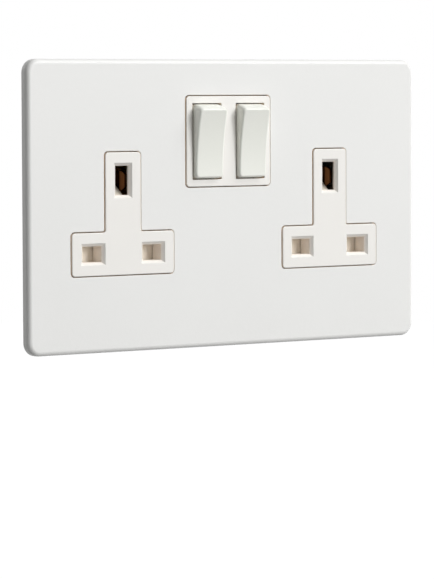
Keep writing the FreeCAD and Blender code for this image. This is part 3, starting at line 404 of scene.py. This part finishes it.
def grown(name, tree, place, **sizes):
    """A plain mesh of what a tree makes, put in its place."""
    holder = bpy.data.objects.new(name, bpy.data.meshes.new(f"{name}_start"))
    bpy.context.scene.collection.objects.link(holder)
    maker = holder.modifiers.new("maker", "NODES")
    maker.node_group = tree
    for socket in tree.interface.items_tree:
        if socket.in_out == "INPUT":
            maker[socket.identifier] = sizes[socket.name.lower().replace(" ", "_")]
    ready = holder.evaluated_get(bpy.context.evaluated_depsgraph_get())
    mesh = bpy.data.meshes.new_from_object(ready)
    holder.modifiers.remove(maker)
    mesh.transform(place)
    mesh.shade_smooth()
    holder.data = mesh
    return holder


BACK_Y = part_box("rear_housing")[1][1]
BACK_MIDDLE_Z = 0.0115
BEAD_SINK = 0.0001
stood_up = Matrix.Rotation(math.radians(90), 4, "X")
back_ribs = grown(
    "back_ribs",
    raised_back(),
    Matrix.Translation((0.0, BACK_Y - BEAD_SINK, BACK_MIDDLE_Z)) @ stood_up,
    width=0.100,
    height=0.037,
    corner=0.004,
    bead_radius=0.0005,
    ring_columns=4,
    ring_rows=2,
    ring_span=0.060,
    ring_rise=0.020,
    ring_radius=0.0028,
    ring_bead=0.0003,
    finish=cover_plastic,
)
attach(back_ribs, "socket")


# Rockers: smooth greenish white plastic with a dished face, turning on stubs in the moulding;
# the plungers in their posts are plain nylon
rocker_plastic = grained_finish(
    "rocker_plastic", linear(234, 235, 227), linear(239, 240, 233), cells=1800, roughness=0.3, relief=0.000004
)
nylon = grained_finish(
    "nylon", linear(228, 226, 218), linear(238, 236, 229), cells=2200, roughness=0.38, relief=0.000005
)
dress(rocker_plastic, *(f"{side}_rocker" for side in SIDES))
dress(nylon, *(f"{side}_rocker_plunger" for side in SIDES))


# Shutters: warm white plastic slides behind the pin slots, warmed further with painted bounce light, each
# pushed up by a small coil spring and held in by a staked plate of the frame's plastic
# The shutters' warm tone is partly their own and partly painted warm bounce light from inside the slots
shutter_plastic = grained_finish(
    "shutter_plastic", linear(244, 235, 220), linear(249, 241, 228), cells=2400, roughness=0.36, relief=0.000005
)
dress(shutter_plastic, *(f"{side}_shutter" for side in SIDES))
dress(frame_plastic, *(f"{side}_shutter_retainer" for side in SIDES))


# Contacts: straps, clips and see-saw blades cut from rolled brass strip, the earth clips in
# a redder alloy darkened with painted shade, and terminal blocks sawn from brass bar
ROLLING_STRETCH = (0.04, 1.0, 1.0)
STREAK_DETAIL = 2.0
STAINS_PER_METRE = 120.0
STAIN_DETAIL = 4.0
STAIN_SHARE = 0.5


def rolling_marks():
    """Long fine streaks along X, as rolls and drawing dies leave them on metal."""
    group = bpy.data.node_groups.new("rolling_marks", "ShaderNodeTree")
    for name, start in (("Streaks per metre", 4000.0), ("Roughness", 0.25), ("Roughness spread", 0.2)):
        group.interface.new_socket(name, in_out="INPUT", socket_type="NodeSocketFloat").default_value = start
    for name in ("Tone", "Roughness", "Height"):
        group.interface.new_socket(name, in_out="OUTPUT", socket_type="NodeSocketFloat")
    entry = group.nodes.new("NodeGroupInput")
    exit_ = group.nodes.new("NodeGroupOutput")
    spot = group.nodes.new("ShaderNodeTexCoord")
    stretch = group.nodes.new("ShaderNodeMapping")
    stretch.inputs["Scale"].default_value = ROLLING_STRETCH
    group.links.new(spot.outputs["Object"], stretch.inputs["Vector"])
    streak = group.nodes.new("ShaderNodeTexNoise")
    streak.inputs["Detail"].default_value = STREAK_DETAIL
    group.links.new(stretch.outputs[0], streak.inputs["Vector"])
    group.links.new(entry.outputs["Streaks per metre"], streak.inputs["Scale"])
    stain = group.nodes.new("ShaderNodeTexNoise")
    stain.inputs["Scale"].default_value = STAINS_PER_METRE
    stain.inputs["Detail"].default_value = STAIN_DETAIL
    group.links.new(spot.outputs["Object"], stain.inputs["Vector"])
    tone = group.nodes.new("ShaderNodeMix")
    tone.inputs["Factor"].default_value = STAIN_SHARE
    group.links.new(streak.outputs["Fac"], tone.inputs["A"])
    group.links.new(stain.outputs["Fac"], tone.inputs["B"])
    swing = group.nodes.new("ShaderNodeMath")
    swing.operation = "MULTIPLY_ADD"
    group.links.new(tone.outputs["Result"], swing.inputs[0])
    group.links.new(entry.outputs["Roughness spread"], swing.inputs[1])
    group.links.new(entry.outputs["Roughness"], swing.inputs[2])
    group.links.new(tone.outputs["Result"], exit_.inputs["Tone"])
    group.links.new(swing.outputs[0], exit_.inputs["Roughness"])
    group.links.new(streak.outputs["Fac"], exit_.inputs["Height"])
    return group


ROLLING_MARKS = rolling_marks()


def metal_finish(name, deep, pale, streaks, roughness, relief):
    """Bare metal between two tones; relief is the streaks' height in metres."""
    finish = bpy.data.materials.new(name)
    finish.use_nodes = True
    tree = finish.node_tree
    skin = tree.nodes["Principled BSDF"]
    skin.inputs["Metallic"].default_value = 1.0
    marks = tree.nodes.new("ShaderNodeGroup")
    marks.node_tree = ROLLING_MARKS
    marks.inputs["Streaks per metre"].default_value = streaks
    marks.inputs["Roughness"].default_value = roughness
    tint = tree.nodes.new("ShaderNodeMix")
    tint.data_type = "RGBA"
    tint.inputs["A"].default_value = deep
    tint.inputs["B"].default_value = pale
    bump = tree.nodes.new("ShaderNodeBump")
    bump.inputs["Distance"].default_value = relief
    tree.links.new(marks.outputs["Tone"], tint.inputs["Factor"])
    tree.links.new(tint.outputs["Result"], skin.inputs["Base Color"])
    tree.links.new(marks.outputs["Roughness"], skin.inputs["Roughness"])
    tree.links.new(marks.outputs["Height"], bump.inputs["Height"])
    tree.links.new(bump.outputs["Normal"], skin.inputs["Normal"])
    return finish


brass = metal_finish(
    "brass", linear(190, 148, 84), linear(222, 186, 118), streaks=4000, roughness=0.26, relief=0.000004
)
# The earth clips' dark tones are partly painted shade, for the shade deep in the earth slot where they sit
earth_alloy = metal_finish(
    "earth_alloy", linear(80, 48, 24), linear(114, 73, 42), streaks=4000, roughness=0.28, relief=0.000004
)
silver = metal_finish(
    "silver", linear(196, 196, 192), linear(222, 222, 218), streaks=2500, roughness=0.3, relief=0.000003
)
dress(brass, "line_bar", "neutral_bar")
dress(brass, "line_terminal", "neutral_terminal", "earth_terminal", "terminal_screws")
dress(brass, *(f"{side}_{piece}" for side in SIDES for piece in ("line_contact", "moving_contact")))
dress(earth_alloy, "earth_bar")
dress(silver, "fixed_contact_tips", *(f"{side}_moving_tip" for side in SIDES))


# Springs: drawn steel wire, wound cold; each shutter's spring stands on the housing's lower wall
# and in use closes up as a plug's earth pin pushes the shutter down; the coil here is built at one length
STEPS_PER_TURN = 36
WIRE_SIDES = 12


def coil_spring():
    """A coil of round wire that rises along Z."""
    tree = bpy.data.node_groups.new("coil_spring", "GeometryNodeTree")
    for label in ("Coil radius", "Coil height", "Turns", "Wire radius"):
        tree.interface.new_socket(label, in_out="INPUT", socket_type="NodeSocketFloat")
    tree.interface.new_socket("Finish", in_out="INPUT", socket_type="NodeSocketMaterial")
    tree.interface.new_socket("Geometry", in_out="OUTPUT", socket_type="NodeSocketGeometry")
    entry = tree.nodes.new("NodeGroupInput")
    exit_ = tree.nodes.new("NodeGroupOutput")
    helix = tree.nodes.new("GeometryNodeCurveSpiral")
    helix.inputs["Resolution"].default_value = STEPS_PER_TURN
    for label, socket in (
        ("Coil radius", "Start Radius"),
        ("Coil radius", "End Radius"),
        ("Coil height", "Height"),
        ("Turns", "Rotations"),
    ):
        tree.links.new(entry.outputs[label], helix.inputs[socket])
    section = tree.nodes.new("GeometryNodeCurvePrimitiveCircle")
    section.inputs["Resolution"].default_value = WIRE_SIDES
    tree.links.new(entry.outputs["Wire radius"], section.inputs["Radius"])
    wire = tree.nodes.new("GeometryNodeCurveToMesh")
    wire.inputs["Fill Caps"].default_value = True
    tree.links.new(helix.outputs["Curve"], wire.inputs["Curve"])
    tree.links.new(section.outputs["Curve"], wire.inputs["Profile Curve"])
    solid = tree.nodes.new("GeometryNodeRealizeInstances")
    tree.links.new(wire.outputs["Mesh"], solid.inputs["Geometry"])
    drawn = tree.nodes.new("GeometryNodeSetMaterial")
    tree.links.new(solid.outputs["Geometry"], drawn.inputs["Geometry"])
    tree.links.new(entry.outputs["Finish"], drawn.inputs["Material"])
    tree.links.new(drawn.outputs["Geometry"], exit_.inputs["Geometry"])
    return tree


WIRE_RADIUS = 0.0002
COIL_TURNS = 8.75
spring_steel = metal_finish(
    "spring_steel", linear(150, 150, 152), linear(184, 184, 186), streaks=6000, roughness=0.24, relief=0.000003
)
dress(spring_steel, *(f"{side}_rocker_spring" for side in SIDES))
shutter_coil = coil_spring()
for side in SIDES:
    low, high = (Vector(corner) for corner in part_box(f"{side}_shutter_spring"))
    foot = Vector(((low.x + high.x) / 2, (low.y + high.y) / 2, low.z))
    length = high.z - low.z
    coil = grown(
        f"{side}_shutter_coil",
        shutter_coil,
        Matrix.Translation(foot + Vector((0.0, 0.0, WIRE_RADIUS))),
        coil_radius=(high.x - low.x) / 2 - WIRE_RADIUS,
        coil_height=length - 2 * WIRE_RADIUS,
        turns=COIL_TURNS,
        wire_radius=WIRE_RADIUS,
        finish=spring_steel,
    )
    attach(coil, "socket")
    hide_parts(f"{side}_shutter_spring")
    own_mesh(coil)


# Screws: plated steel with slotted heads; four hold the rear housing on,
# and four the backing frame
screw_steel = metal_finish(
    "screw_steel", linear(178, 177, 172), linear(206, 205, 200), streaks=5000, roughness=0.3, relief=0.000004
)
dress(screw_steel, "cover_screws", "frame_screws")
